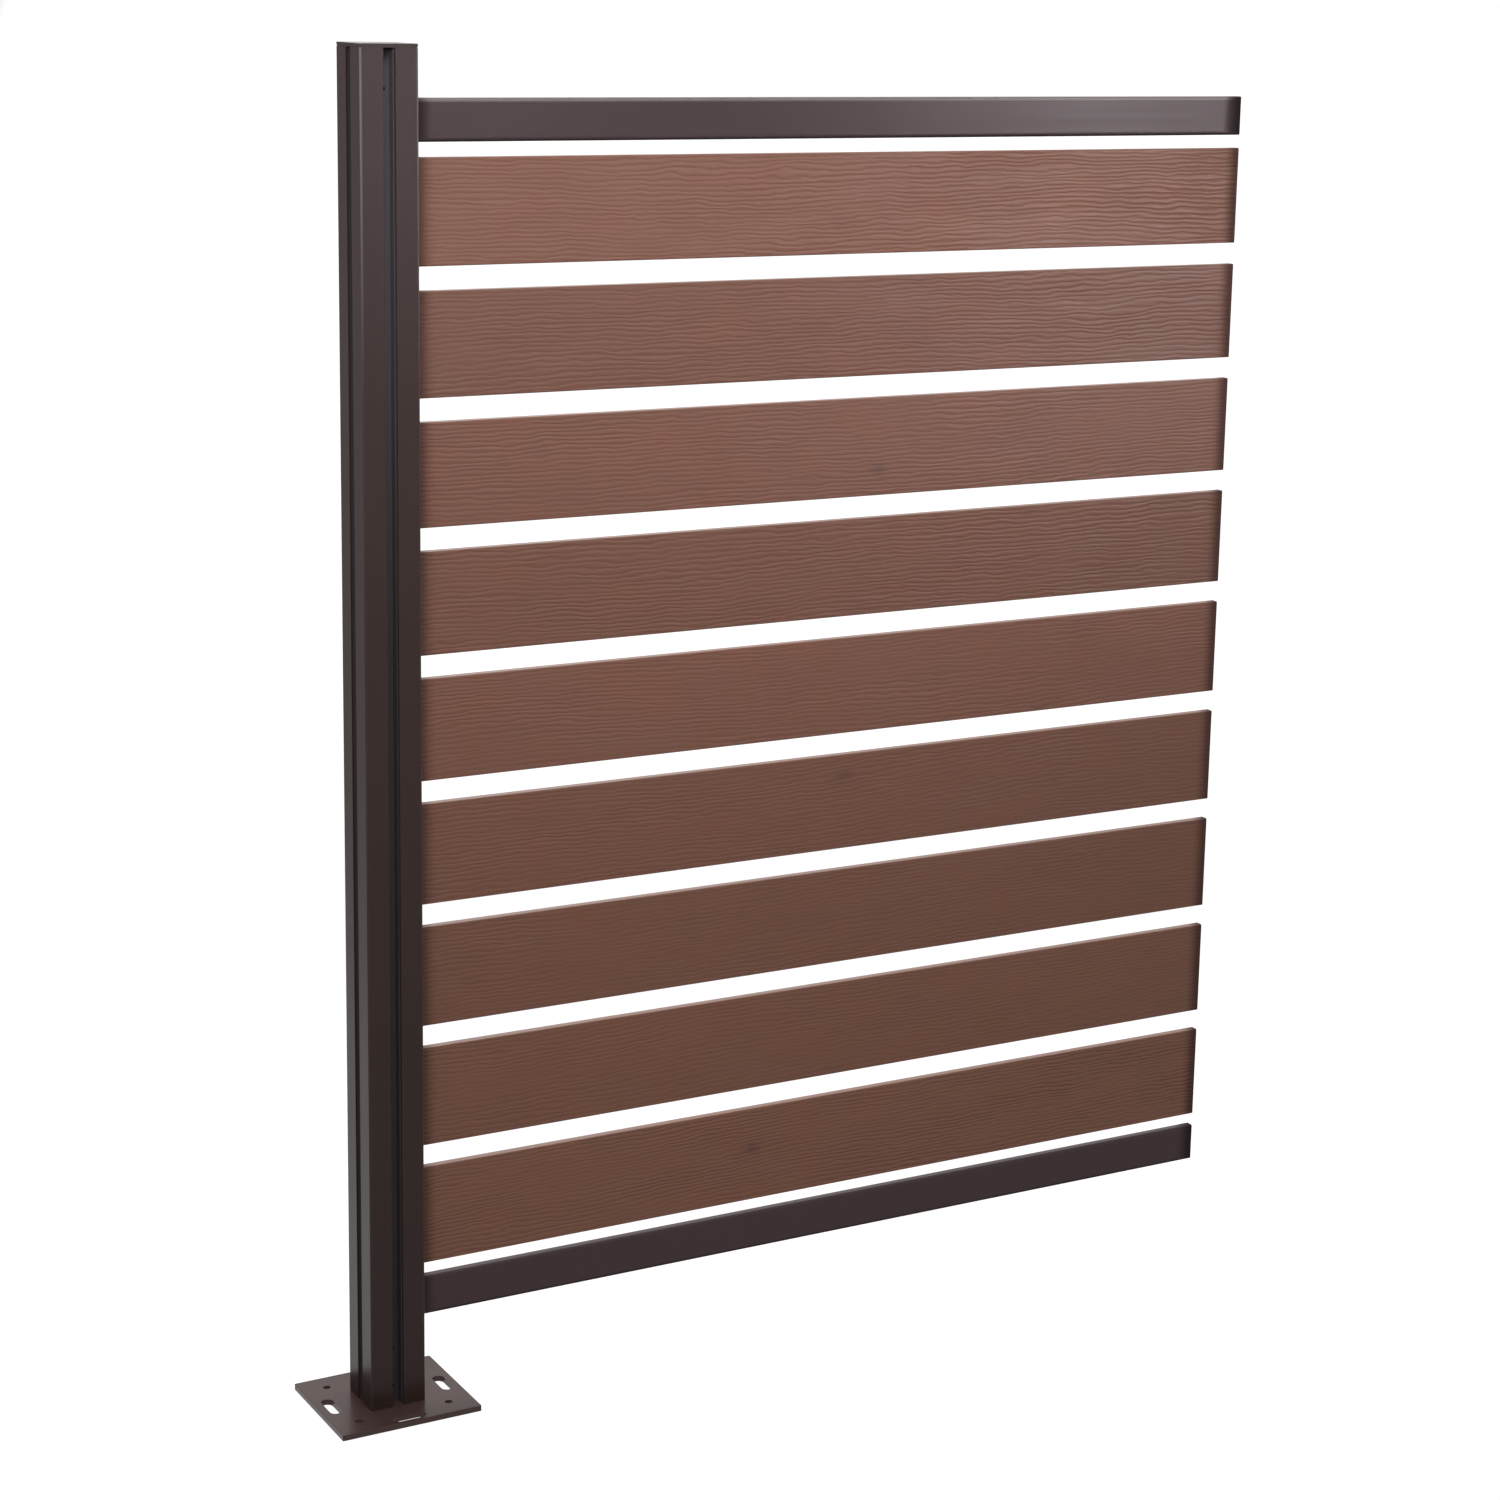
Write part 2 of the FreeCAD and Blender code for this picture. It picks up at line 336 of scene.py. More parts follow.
@dataclass(frozen=True)
class Stain:
    """A pattern over a tint: where it fades in, its share where it is strongest, and its tone."""

    span: Span
    share: float
    tone: float

    def laid(self, graph: Graph, coat: Wire, pattern: Wire, tint: Colour) -> Wire:
        """Lay the stain over a coat where its pattern is strong."""
        share = graph.fade(pattern, *self.span) * self.share
        return graph.mix(share, coat, toned(tint, self.tone))


@dataclass(frozen=True)
class Finish:
    """A surface: its name, the name of a record's slot, which this script doesn't use, and its nodes."""

    name: str
    slot: str

    def sockets(self, graph: Graph) -> dict[str, Any]:
        """Give the values and wires of the surface shader's sockets."""
        raise NotImplementedError

    def material(self) -> bpy.types.Material:
        """Build the material.

        Returns:
            A material with the finish's own nodes.
        """
        made = bpy.data.materials.new(self.name)
        made.use_nodes = True
        graph = Graph(made.node_tree)
        surface = graph.node("ShaderNodeBsdfPrincipled", None, self.sockets(graph))
        graph.node("ShaderNodeOutputMaterial", None, {"Surface": surface})
        return made


@dataclass(frozen=True)
class PowderCoat(Finish):
    """Dark bronze powder coat: fine grain, slow clouding, faint draw lines and a film of dust on top.

    Scales are features per metre, and a swing is what a pattern does to the roughness. The dust builds up
    between two upward slopes, dust_from and dust_full.
    """

    tint: Colour = (0.0300, 0.0172, 0.0152)
    dust: Colour = (0.16, 0.14, 0.13)
    dust_share: float = 0.06
    dust_from: float = 0.5
    dust_full: float = 0.95
    dust_least: float = 0.4
    dust_dulling: float = 0.10
    roughness: float = 0.32
    specular: float = 0.14
    cloud_scale: float = 9.0
    cloud_tones: Span = (0.88, 1.12)
    cloud_swing: float = 0.10
    grain_pitch: float = 0.5 * MM
    grain_depth: float = 0.012 * MM
    line_pitch: float = 4.0 * MM
    line_stretch: float = 2.0
    line_depth: float = 0.010 * MM
    line_swing: float = 0.08
    speck_scale: float = 420.0
    specks: Stain = Stain((0.60, 0.72), 0.10, 1.9)
    drawn: Axis = Axis.Z

    def sockets(self, graph: Graph) -> dict[str, Any]:
        """Build the coat's nodes.

        Args:
            graph: The material's graph.

        Returns:
            The surface shader's sockets.
        """
        place = graph.node("ShaderNodeTexCoord", output="Object")
        normal = graph.node("ShaderNodeNewGeometry", output="Normal")
        cloud = graph.noise(place, self.cloud_scale, detail=3.0)
        drawn = graph.scaled(place, self.drawn.stretched(1.0 / self.line_pitch, self.line_stretch))
        lines = graph.noise(drawn, 1.0, seed=3.0)
        grain = graph.noise(place, 1.0 / self.grain_pitch, detail=1.0, seed=7.0)
        specks = graph.noise(place, self.speck_scale, seed=11.0)
        upward = graph.fade(graph.split(normal)[2], self.dust_from, self.dust_full)
        film = upward * self.dust_share * (self.dust_least + cloud)
        coat = clouded(graph, cloud, self.tint, self.cloud_tones)
        coat = self.specks.laid(graph, coat, specks, self.tint)
        # each piece's painted light and shade go into the colour here
        coat, dull = self.painted_light(graph, graph.split(place), coat)
        coat = graph.mix(film, coat, self.dust)
        rough = varied(self.roughness, (self.cloud_swing, cloud), (self.line_swing, lines))
        rough = rough + self.dust_dulling * film + dull
        shape = graph.bump(lines, self.line_depth)
        shape = graph.bump(grain, self.grain_depth, below=shape)
        surface = {"Base Color": coat, "Roughness": rough, "Normal": shape}
        return {**surface, "Specular IOR Level": self.specular}

    def painted_light(self, graph: Graph, place: Sequence[Wire], coat: Wire) -> tuple[Wire, Any]:
        """Add one piece's painted light and shade to the coat's colour and roughness; a plain coat has
        none.
        """
        return coat, 0.0


@dataclass(frozen=True)
class PostCoat(PowderCoat):
    """The post's coat, with painted light in the grooves and a painted highlight along the corners,
    brightest near the head.
    Only the front and back grooves, which are as far as face_groove from the middle, get more painted light
    upwards.

    Only the front and back grooves, which are as far as face_groove from the middle, grow paler upwards.
    wall and corner are depths below the post's faces, half is half its width, and a rise is two heights.
    """

    half: float = 30.0 * MM
    wall: Span = (3.0 * MM, 0.5 * MM)
    corner: Span = (2.4 * MM, 0.6 * MM)
    # painted light: the grooves' tints are lighter than the coat, and lighter still near the head
    painted_groove_light_tint: Colour = (0.056, 0.047, 0.050)
    painted_head_groove_light_tint: Colour = (0.100, 0.090, 0.100)
    face_groove: Span = (6.5 * MM, 8.0 * MM)
    painted_groove_light_rise: Span = (0.75, 1.30)
    groove_dulling: float = 0.10
    # painted highlight along the post's corners, strongest near the head
    painted_highlight_tint: Colour = (0.30, 0.27, 0.28)
    painted_highlight_rise: Span = (1.00, 1.40)
    painted_highlight_shares: Span = (0.03, 0.42)

    def painted_light(self, graph: Graph, place: Sequence[Wire], coat: Wire) -> tuple[Wire, Any]:
        """Paint light into the grooves and a highlight along the corners.

        Args:
            graph: The material's graph.
            place: Where on the post, as X, Y and Z.
            coat: The coat's colour so far.

        Returns:
            The colour with its painted light, and what the painted grooves add to the roughness.
        """
        from_x, from_y = abs(place[0]), abs(place[1])
        outermost = from_x.math("MAXIMUM", from_y)
        innermost = from_x.math("MINIMUM", from_y)
        outside = graph.fade(outermost, *(self.half - depth for depth in self.wall))
        corner = graph.fade(innermost, *(self.half - depth for depth in self.corner))
        # painted light in the front and back grooves, growing towards the head
        painted_groove_light = graph.fade(place[2], *self.painted_groove_light_rise) * graph.fade(from_x, *self.face_groove, 1.0, 0.0)
        groove = graph.mix(painted_groove_light, self.painted_groove_light_tint, self.painted_head_groove_light_tint)
        coat = graph.mix(1.0 - outside, coat, groove)
        # painted highlight along the corners, growing towards the head
        painted_highlight = corner * graph.fade(place[2], *self.painted_highlight_rise, *self.painted_highlight_shares)
        return graph.mix(painted_highlight, coat, self.painted_highlight_tint), self.groove_dulling * (1.0 - outside)


@dataclass(frozen=True)
class RailCoat(PowderCoat):
    """A rail's coat: painted shade, made dull, at both ends and along its lower edge, and a painted
    highlight along its upper edge.

    x runs from the post to the free end; low and high are the heights of the two edges. The painted shade
    at the post is measured from the post's middle, the one at the free end back from the free end, and the
    edges inwards from low and high.
    """

    # painted shade near the post and painted shadow at the free end, both dulled
    post_shade: Span = (36.0 * MM, 56.0 * MM)
    post_shade_share: float = 0.7
    tongue: Span = (26.0 * MM, 1.0 * MM)
    # painted shade along the lower edge
    lower_edge_shade: Span = (1.2 * MM, 4.6 * MM)
    lower_shade_share: float = 0.75
    # painted highlight along the upper edge
    upper_edge_highlight: Span = (5.0 * MM, 2.0 * MM)
    painted_highlight_tint: Colour = (0.20, 0.175, 0.175)
    painted_highlight_share: float = 0.70
    painted_shade_share: float = 0.85
    painted_shade_tone: float = 0.25
    painted_shade_dulling: float = 0.60
    free_end: float = 1.0
    low: float = 0.0
    high: float = 1.0

    def fitted(self, node: str) -> "RailCoat":
        """Give the same coat for one rail's size.

        Args:
            node: The rail's CAD node.

        Returns:
            The coat that knows where the rail's edges and free end are.
        """
        low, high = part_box(node)
        return replace(self, name=f"{node}_{self.name}", free_end=high.x, low=low.z, high=high.z)

    def painted_light(self, graph: Graph, place: Sequence[Wire], coat: Wire) -> tuple[Wire, Any]:
        """Paint shade at both ends and along the lower edge, and a highlight along the upper edge.

        Args:
            graph: The material's graph.
            place: Where on the rail, as X, Y and Z.
            coat: The coat's colour so far.

        Returns:
            The colour with its painted shade and highlight, and what the painted shade adds to the
            roughness.
        """
        x, _, z = place
        # painted shade at the post, at the free end and along the lower edge
        post_shade = graph.fade(x, *self.post_shade, self.post_shade_share, 0.0)
        tongue = graph.fade(x, *(self.free_end - depth for depth in self.tongue))
        under = graph.fade(z, *(self.low + depth for depth in self.lower_edge_shade), self.lower_shade_share, 0.0)
        # painted highlight along the upper edge, left off the free end
        painted_highlight = graph.fade(z, *(self.high - depth for depth in self.upper_edge_highlight)) * (1.0 - tongue)
        dark = post_shade.math("MAXIMUM", tongue).math("MAXIMUM", under)
        coat = graph.mix(painted_highlight * self.painted_highlight_share, coat, self.painted_highlight_tint)
        coat = graph.mix(dark * self.painted_shade_share, coat, toned(self.tint, self.painted_shade_tone))
        return coat, self.painted_shade_dulling * dark


@dataclass(frozen=True)
class WoodComposite(Finish):
    """Brown wood-plastic board: embossed lines, fibres, knots and a paler weathered face.

    Scales are features per metre along, through and up the board, a swing or dulling is what a pattern does
    to the roughness, and layer_step keeps the seeds of its noises apart.
    """

    tint: Colour = (0.167, 0.0735, 0.0483)
    red_tint: Colour = (0.175, 0.0735, 0.0463)
    grey_tint: Colour = (0.161, 0.0755, 0.0522)
    rust_tint: Colour = (0.186, 0.0700, 0.0410)
    knot_tint: Colour = (0.085, 0.038, 0.030)
    # painted shade at both ends of the board, near the post and at the free end, also dulled
    end_shade_tint: Colour = (0.050, 0.022, 0.017)
    dust: Colour = (0.33, 0.26, 0.23)
    dust_span: Span = (0.5, 0.95)
    dust_share: float = 0.35
    dust_least: float = 0.4
    roughness: float = 0.38
    specular: float = 0.24
    layer_step: float = 4.0
    drift_scales: Point = (2.0, 2.0, 9.0)
    mottle_scales: Point = (17.0, 17.0, 22.0)
    rust_span: Span = (0.46, 0.68)
    rust_share: float = 0.45
    patch_scales: Point = (14.0, 30.0, 40.0)
    patch_stain: Stain = Stain((0.35, 0.75), 0.5, 0.90)
    patch_swing: float = 0.10
    line_sharpness: float = 3.0
    line_depth: float = 0.17 * MM
    line_share: float = 0.20
    line_tone: float = 0.55
    line_dulling: float = 0.08
    fibre_scales: Point = (90.0, 700.0, 1300.0)
    fibre_middle: float = 0.12
    fibre_share: float = 0.5
    fibre_tone: float = 0.72
    fibre_swing: float = 0.10
    fibre_depth: float = 0.030 * MM
    flour_scale: float = 1700.0
    flour_stain: Stain = Stain((0.55, 0.85), 0.12, 1.6)
    flour_depth: float = 0.008 * MM
    painted_end_shade_dulling: float = 0.45

    def sockets(self, graph: Graph) -> dict[str, Any]:
        """Build the board's nodes.

        Args:
            graph: The material's graph.

        Returns:
            The surface shader's sockets.
        """
        place = graph.node("ShaderNodeTexCoord", output="Object")
        normal = graph.node("ShaderNodeNewGeometry", output="Normal")
        turns, strength, knot, tongue, seed, shade = (
            graph.node("ShaderNodeAttribute", {"attribute_name": name}, output="Fac")
            for name in ("turns", "strength", "knot", "tongue", "board", "shade")
        )
        step = self.layer_step
        drift = graph.noise(graph.scaled(place, self.drift_scales), 1.0, seed=seed)
        patch = graph.noise(graph.scaled(place, self.patch_scales), 1.0, detail=3.0, seed=seed + step)
        fibre = graph.noise(graph.scaled(place, self.fibre_scales), 1.0, seed=seed + 2.0 * step)
        flour = graph.noise(place, self.flour_scale, detail=1.0, seed=seed + 3.0 * step)
        mottle = graph.noise(graph.scaled(place, self.mottle_scales), 1.0, seed=seed + 4.0 * step)
        groove = graph.groove(turns, self.line_sharpness) * strength
        upward = graph.fade(graph.split(normal)[2], *self.dust_span)
        board = graph.mix(drift, self.red_tint, self.grey_tint)
        board = graph.mix(graph.fade(mottle, *self.rust_span) * self.rust_share, board, self.rust_tint)
        board = self.patch_stain.laid(graph, board, patch, self.tint)
        board = graph.mix(groove * self.line_share, board, toned(self.tint, self.line_tone))
        fibred = varied(self.fibre_middle, (self.fibre_share, fibre))
        board = graph.mix(fibred, board, toned(self.tint, self.fibre_tone))
        board = self.flour_stain.laid(graph, board, flour, self.tint)
        board = graph.mix(1.0, board, graph.vector(shade, shade, shade), "MULTIPLY")
        board = graph.mix(knot, board, self.knot_tint)
        board = graph.mix(upward * self.dust_share * (self.dust_least + patch), board, self.dust)
        # painted shade at both ends of the board
        board = graph.mix(tongue, board, self.end_shade_tint)
        rough = varied(self.roughness, (self.patch_swing, patch), (self.fibre_swing, fibre))
        rough = rough + self.line_dulling * groove + self.painted_end_shade_dulling * tongue
        shape = graph.bump(1.0 - groove, self.line_depth)
        shape = graph.bump(fibre, self.fibre_depth, below=shape)
        shape = graph.bump(flour, self.flour_depth, below=shape)
        surface = {"Base Color": board, "Roughness": rough, "Normal": shape}
        return {**surface, "Specular IOR Level": self.specular}


@dataclass(frozen=True)
class MouldedNylon(Finish):
    """Black moulded plastic with a fine spark-eroded skin."""

    tint: Colour = (0.016, 0.016, 0.017)
    roughness: float = 0.5
    cloud_scale: float = 35.0
    cloud_tones: Span = (0.8, 1.3)
    cloud_swing: float = 0.14
    skin_scale: float = 2600.0
    skin_depth: float = 0.015 * MM
    skin_swing: float = 0.08

    def sockets(self, graph: Graph) -> dict[str, Any]:
        """Build the plastic's nodes.

        Args:
            graph: The material's graph.

        Returns:
            The surface shader's sockets.
        """
        place = graph.node("ShaderNodeTexCoord", output="Object")
        cloud = graph.noise(place, self.cloud_scale, detail=3.0)
        skin = graph.noise(place, self.skin_scale, seed=2.0)
        colour = clouded(graph, cloud, self.tint, self.cloud_tones)
        rough = varied(self.roughness, (self.cloud_swing, cloud), (self.skin_swing, skin))
        return {"Base Color": colour, "Roughness": rough, "Normal": graph.bump(skin, self.skin_depth)}


@dataclass(frozen=True)
class BareMetal(Finish):
    """Uncoated metal with draw or turning lines and dull spots."""

    tint: Colour = (0.62, 0.62, 0.63)
    roughness: float = 0.38
    cloud_scale: float = 60.0
    cloud_tones: Span = (0.86, 1.06)
    cloud_swing: float = 0.16
    line_pitch: float = 0.6 * MM
    line_stretch: float = 12.0
    line_depth: float = 0.010 * MM
    line_swing: float = 0.12
    line_stain: Stain = Stain((0.5, 0.8), 0.4, 0.75)
    drawn: Axis = Axis.Z

    def sockets(self, graph: Graph) -> dict[str, Any]:
        """Build the metal's nodes.

        Args:
            graph: The material's graph.

        Returns:
            The surface shader's sockets.
        """
        place = graph.node("ShaderNodeTexCoord", output="Object")
        cloud = graph.noise(place, self.cloud_scale, detail=3.0)
        drawn = graph.scaled(place, self.drawn.stretched(1.0 / self.line_pitch, self.line_stretch))
        lines = graph.noise(drawn, 1.0, seed=5.0)
        colour = clouded(graph, cloud, self.tint, self.cloud_tones)
        colour = self.line_stain.laid(graph, colour, lines, self.tint)
        rough = varied(self.roughness, (self.cloud_swing, cloud), (self.line_swing, lines))
        shape = graph.bump(lines, self.line_depth)
        return {"Base Color": colour, "Roughness": rough, "Metallic": 1.0, "Normal": shape}


@dataclass(frozen=True)
class Knot:
    """A spot on a board that the embossed lines run round.

    x and z are its place in the frame, pull is how far it parts the lines, and dark how much it shows.
    """

    x: float
    z: float
    pull: float
    dark: float


@dataclass(frozen=True)
class Board:
    """One slat: the CAD node that it stands for, its pattern's seed and its two knots.

    shade is how light it is beside the finish's own tint; depth is how deep the grain is at the post and
    at the free end, as shares of the panel's relief.
    """

    node: str
    seed: float
    shade: float
    depth: Span
    knots: tuple[Knot, Knot]


@dataclass(frozen=True)
class Ripple:
    """A noise drawn out along a board: waves per metre along and across, its layer, detail and reach."""

    along: float
    across: float
    layer: float
    detail: float = 1.0
    reach: float = 1.0


@dataclass(frozen=True)
class Strip:
    """A stretch of a texture map: where it starts, how long it is, and how far on its twin starts."""

    start: float
    size: float
    step: float = 0.0

    def spot(self, value: Wire, twin: Any = 0.0) -> Wire:
        """Give the place on the map of a value from 0 to 1, on the strip or on its twin."""
        return self.start + self.size * value + self.step * twin


class BoardTree:
    """The geometry-node tree that grows one board and embosses its grain."""

    SIZES = ("Start", "End", "Bottom", "Height", "Thickness", "Edge Radius")
    GRAIN = ("Line Pitch", "Relief", "Left Depth", "Right Depth", "Seed", "Shade")
    KNOTS = ("First Pull", "First Dark", "Second Pull", "Second Dark")
    INPUTS: Mapping[str, tuple[str, ...]] = {
        "NodeSocketFloat": (*SIZES, *GRAIN, *KNOTS),
        "NodeSocketInt": ("Columns", "Ring Points"),
        "NodeSocketVector": ("First Knot", "Second Knot"),
        "NodeSocketMaterial": ("Finish",),
    }
    KNOT_NAMES = ("First", "Second")
    KNOT_REACH = (26.0 * MM, 9.0 * MM)
    KNOT_SPOT = (9.5 * MM, 7.5 * MM)
    WAVES = (
        Ripple(1.6, 5.0, 0.0, reach=46.0 * MM),
        Ripple(9.0, 26.0, 3.1, reach=10.0 * MM),
        Ripple(38.0, 105.0, 6.2, reach=7.0 * MM),
        Ripple(85.0, 160.0, 7.7, reach=3.6 * MM),
    )
    WEAR = Ripple(7.0, 34.0, 9.3, detail=2.0)
    WEAR_SPAN = (-0.20, 0.14)
    WORN_SHARE = 0.42
    QUIET_SPAN = (0.55, 1.1)
    QUIET_SHARE = 0.6
    FACE_SPAN = (0.80, 0.99)
    CUT_SHARPNESS = 2.0
    SIDE_SEED = 5.3
    # painted shadow at the free end, and painted shade near the post
    FREE_END_SHADE = (1.0 * MM, 20.0 * MM)
    POST_SHADE = (20.0 * MM, 42.0 * MM)
    POST_SHADE_SHARE = 0.75
    FILLET_POINTS = 6
    SHARP_ANGLE = math.radians(50.0)
    END_TILT = 0.9
    FACE_ROWS = Strip(0.01, 0.42, 0.43)
    EDGE_ROWS = Strip(0.875, 0.04, 0.05)
    END_ROWS = Strip(0.975, 0.02)
    LENGTHS = Strip(0.01, 0.98)
    END_LENGTHS = Strip(0.02, 0.45, 0.5)

    def __init__(self) -> None:
        """Build the tree and remember its inputs' identifiers."""
        self.tree = bpy.data.node_groups.new("grained_board", "GeometryNodeTree")
        self.graph = Graph(self.tree)
        self.identifiers: dict[str, str] = {}
        for kind, names in self.INPUTS.items():
            for name in names:
                made = self.tree.interface.new_socket(name=name, in_out="INPUT", socket_type=kind)
                self.identifiers[name] = made.identifier
        self.tree.interface.new_socket(name="Board", in_out="OUTPUT", socket_type="NodeSocketGeometry")
        inputs = self.graph.node("NodeGroupInput").socket.node.outputs
        self.given = {name: Wire(self.graph, inputs[name]) for name in self.identifiers}
        shape = self._blank()
        shape = self._emboss(shape)
        shape = self._unroll(shape)
        shape = self.graph.node("GeometryNodeSetShadeSmooth", None, {0: shape})
        shape = self.graph.node("GeometryNodeRealizeInstances", None, {0: shape})
        sockets = {"Geometry": shape, "Material": self.given["Finish"]}
        shape = self.graph.node("GeometryNodeSetMaterial", None, sockets)
        self.graph.node("NodeGroupOutput", None, {"Board": shape})

    def _along(self, x: Wire) -> Wire:
        """Give how far along the board a place is, from 0 at the post to 1 at the free end."""
        return (x - self.given["Start"]) / (self.given["End"] - self.given["Start"])

    def _blank(self) -> Wire:
        """Sweep the rounded section along the board.

        Returns:
            The plain board, close enough meshed for its grain.
        """
        graph, given = self.graph, self.given
        middle = given["Bottom"] + given["Height"] * 0.5
        ends = {
            "Start": graph.vector(given["Start"], 0.0, middle),
            "End": graph.vector(given["End"], 0.0, middle),
        }
        path = graph.node("GeometryNodeCurvePrimitiveLine", None, ends)
        columns = {"Curve": path, "Count": given["Columns"]}
        path = graph.node("GeometryNodeResampleCurve", {"mode": "COUNT"}, columns)
        path = graph.node("GeometryNodeSetCurveNormal", {"mode": "Z_UP"}, {"Curve": path})
        sizes = {"Width": given["Thickness"], "Height": given["Height"]}
        section = graph.node("GeometryNodeCurvePrimitiveQuadrilateral", {"mode": "RECTANGLE"}, sizes)
        rounding = {"Curve": section, "Radius": given["Edge Radius"], "Count": self.FILLET_POINTS}
        section = graph.node("GeometryNodeFilletCurve", {"mode": "POLY"}, rounding)
        points = {"Curve": section, "Count": given["Ring Points"]}
        section = graph.node("GeometryNodeResampleCurve", {"mode": "COUNT"}, points)
        sweep = {"Curve": path, "Profile Curve": section, "Fill Caps": True}
        return graph.node("GeometryNodeCurveToMesh", None, sweep)

    def _emboss(self, shape: Wire) -> Wire:
        """Cut the grain into both faces and keep what the finish needs to know of it.

        Args:
            shape: The plain board.

        Returns:
            The embossed board, never outside the plain one.
        """
        graph, given = self.graph, self.given
        x, y, z = graph.split(graph.node("GeometryNodeInputPosition"))
        facing = graph.split(graph.node("GeometryNodeInputNormal"))[1]
        side = y.math("SIGN")
        seed = given["Seed"] + self.SIDE_SEED * side

        def rippled(ripple: Ripple) -> Wire:
            """Give a ripple's noise, from about -0.5 to 0.5 of its reach."""
            where = graph.vector(x * ripple.along, z * ripple.across, ripple.layer)
            return (graph.noise(where, 1.0, ripple.detail, seed) - 0.5) * ripple.reach

        def near(knot: Sequence[Wire], reach: Span) -> Wire:
            """Give 1 in the middle of a knot, falling to 0 past its reach along and up the board."""
            far_x, far_z = (x - knot[0]) / reach[0], (z - knot[2]) / reach[1]
            return (-(far_x * far_x + far_z * far_z)).math("EXPONENT")

        level = z
        for wave in self.WAVES:
            level = level + rippled(wave)
        dark = 0.0
        quiet = 0.0
        for name in self.KNOT_NAMES:
            knot = graph.split(given[f"{name} Knot"])
            parted = near(knot, self.KNOT_REACH)
            level = level - (z - knot[2]) * parted * given[f"{name} Pull"]
            quiet = quiet + parted * given[f"{name} Pull"]
            dark = dark + near(knot, self.KNOT_SPOT) * given[f"{name} Dark"]
        turns = level / given["Line Pitch"]
        strength = graph.fade(rippled(self.WEAR), *self.WEAR_SPAN, self.WORN_SHARE, 1.0)
        strength = strength * (1.0 - graph.fade(quiet, *self.QUIET_SPAN) * self.QUIET_SHARE)
        graded = given["Left Depth"] + (given["Right Depth"] - given["Left Depth"]) * self._along(x)
        strength = strength * graph.fade(abs(facing), *self.FACE_SPAN) * graded
        depth = given["Relief"] * graph.groove(turns, self.CUT_SHARPNESS) * strength
        # painted shade near the post, joined with the painted shadow at the free end
        post_shade = graph.fade(x - given["Start"], *self.POST_SHADE, self.POST_SHADE_SHARE, 0.0)
        kept = {
            "turns": turns,
            "strength": strength,
            "knot": dark,
            "tongue": graph.fade(given["End"] - x, *self.FREE_END_SHADE, 1.0, 0.0).math("MAXIMUM", post_shade),
            "board": seed,
            "shade": given["Shade"],
        }
        for name, value in kept.items():
            settings = {"data_type": "FLOAT", "domain": "POINT"}
            sockets = {"Geometry": shape, "Name": name, "Value": value}
            shape = graph.node("GeometryNodeStoreNamedAttribute", settings, sockets)
        offset = graph.vector(0.0, -side * depth, 0.0)
        return graph.node("GeometryNodeSetPosition", None, {"Geometry": shape, "Offset": offset})

    def _unroll(self, shape: Wire) -> Wire:
        """Lay the faces, edges and ends out flat, one strip above the other.

        Args:
            shape: The embossed board.

        Returns:
            The board with its own texture map.
        """
        graph, given = self.graph, self.given
        x, y, z = graph.split(graph.node("GeometryNodeInputPosition"))
        settings = {"data_type": "FLOAT_VECTOR", "domain": "FACE"}
        normal = graph.node("GeometryNodeInputNormal")
        normal = graph.node("GeometryNodeFieldOnDomain", settings, {0: normal})
        turn_x, turn_y, turn_z = graph.split(normal)
        up = (z - given["Bottom"]) / given["Height"]
        through = y / given["Thickness"] + 0.5
        is_end = abs(turn_x).math("GREATER_THAN", self.END_TILT)
        is_face = abs(turn_y).math("GREATER_THAN", abs(turn_z)) * (1.0 - is_end)
        is_edge = 1.0 - is_face - is_end
        is_back = turn_y.math("GREATER_THAN", 0.0)
        is_top = turn_z.math("GREATER_THAN", 0.0)
        is_right = turn_x.math("GREATER_THAN", 0.0)
        across = is_face * self.FACE_ROWS.spot(up, is_back)
        across = across + is_edge * self.EDGE_ROWS.spot(through, is_top)
        across = across + is_end * self.END_ROWS.spot(through)
        length = (1.0 - is_end) * self.LENGTHS.spot(self._along(x))
        length = length + is_end * self.END_LENGTHS.spot(up, is_right)
        settings = {"data_type": "FLOAT2", "domain": "CORNER"}
        sockets = {"Geometry": shape, "Name": BAKE_MAP, "Value": graph.vector(length, across, 0.0)}
        return graph.node("GeometryNodeStoreNamedAttribute", settings, sockets)

    def grow(self, name: str, values: Mapping[str, Any]) -> bpy.types.Object:
        """Make one board as a plain mesh.

        Args:
            name: The new object's name.
            values: A value for each of the tree's inputs.

        Returns:
            An object at the origin with the board's mesh and no modifier.
        """
        seedling = bpy.data.objects.new(f"{name}_seed", bpy.data.meshes.new(f"{name}_seed"))
        bpy.context.scene.collection.objects.link(seedling)
        modifier = seedling.modifiers.new("grain", "NODES")
        modifier.node_group = self.tree
        for key, value in values.items():
            modifier[self.identifiers[key]] = value
        seen = seedling.evaluated_get(bpy.context.evaluated_depsgraph_get())
        mesh = bpy.data.meshes.new_from_object(seen)
        mesh.name = name
        mesh.set_sharp_from_angle(angle=self.SHARP_ANGLE)
        bpy.data.objects.remove(seedling)
        made = bpy.data.objects.new(name, mesh)
        bpy.context.scene.collection.objects.link(made)
        return made


def dress(node: bpy.types.Object, material: bpy.types.Material) -> None:
    """Put a material on a CAD node and report it.

    Args:
        node: The CAD node's object; its mesh is left alone.
        material: What its slots get.
    """
    for slot in node.material_slots:
        slot.material = material
    LOG.info("%s: %s", node.name, material.name)


